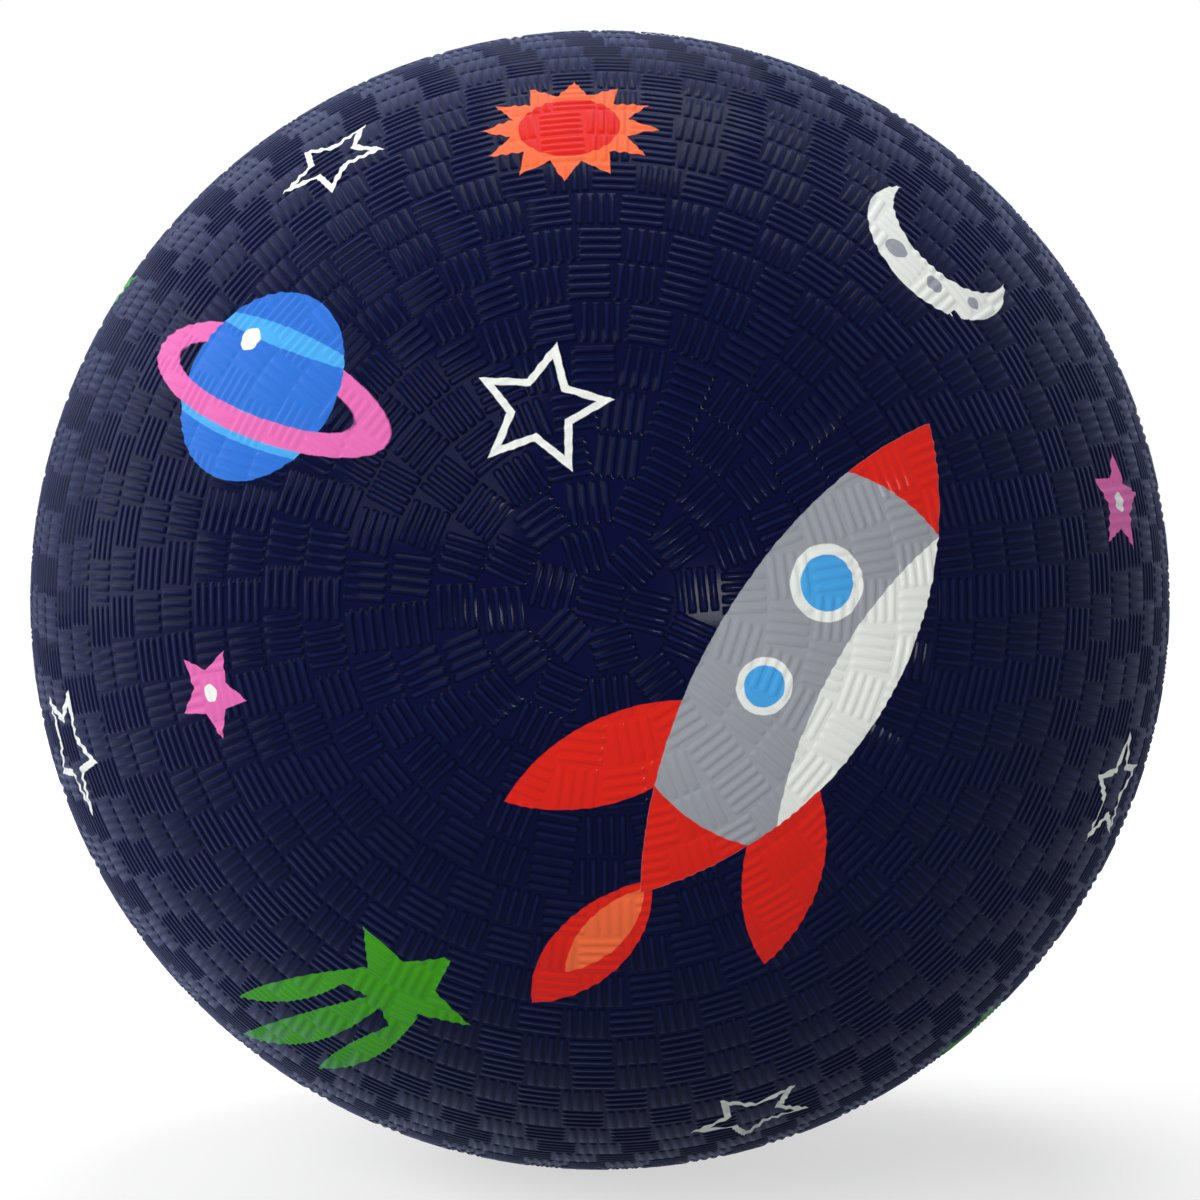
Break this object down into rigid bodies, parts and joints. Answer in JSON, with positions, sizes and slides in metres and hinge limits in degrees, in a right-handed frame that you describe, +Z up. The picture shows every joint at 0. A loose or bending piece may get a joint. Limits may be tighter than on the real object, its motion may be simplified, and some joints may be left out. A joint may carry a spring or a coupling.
{
  "type": "playground ball",
  "caption": "Inflated rubber playground ball with a moulded basket-weave cover, an inner bladder and a self-sealing needle valve at one pole.",
  "frame": {"origin": "centre of the ball", "axes": "+Z up as the ball is shown, +Y out of the ball along the needle valve, so -Y is the pole of the rib pattern that faces the viewer"},
  "size_m": [0.216, 0.216, 0.216],
  "materials": {
    "cover_rubber": "satin moulded rubber, printed in flat colours",
    "bladder_rubber": "matt black butyl rubber",
    "valve_rubber": "hard black rubber, satin",
    "core_rubber": "soft dark grey rubber, satin"
  },
  "bodies": {
    "ball": {"cover_front": "cover_rubber", "cover_back": "cover_rubber", "bladder": "bladder_rubber", "valve_patch": "bladder_rubber", "valve_body": "valve_rubber"},
    "core": {"valve_core": "core_rubber"}
  },
  "joints": [
    {"name": "core_pull", "type": "slide", "parent": "ball", "child": "core", "axis": [0, 1, 0], "range_m": [0, 0.02]}
  ]
}
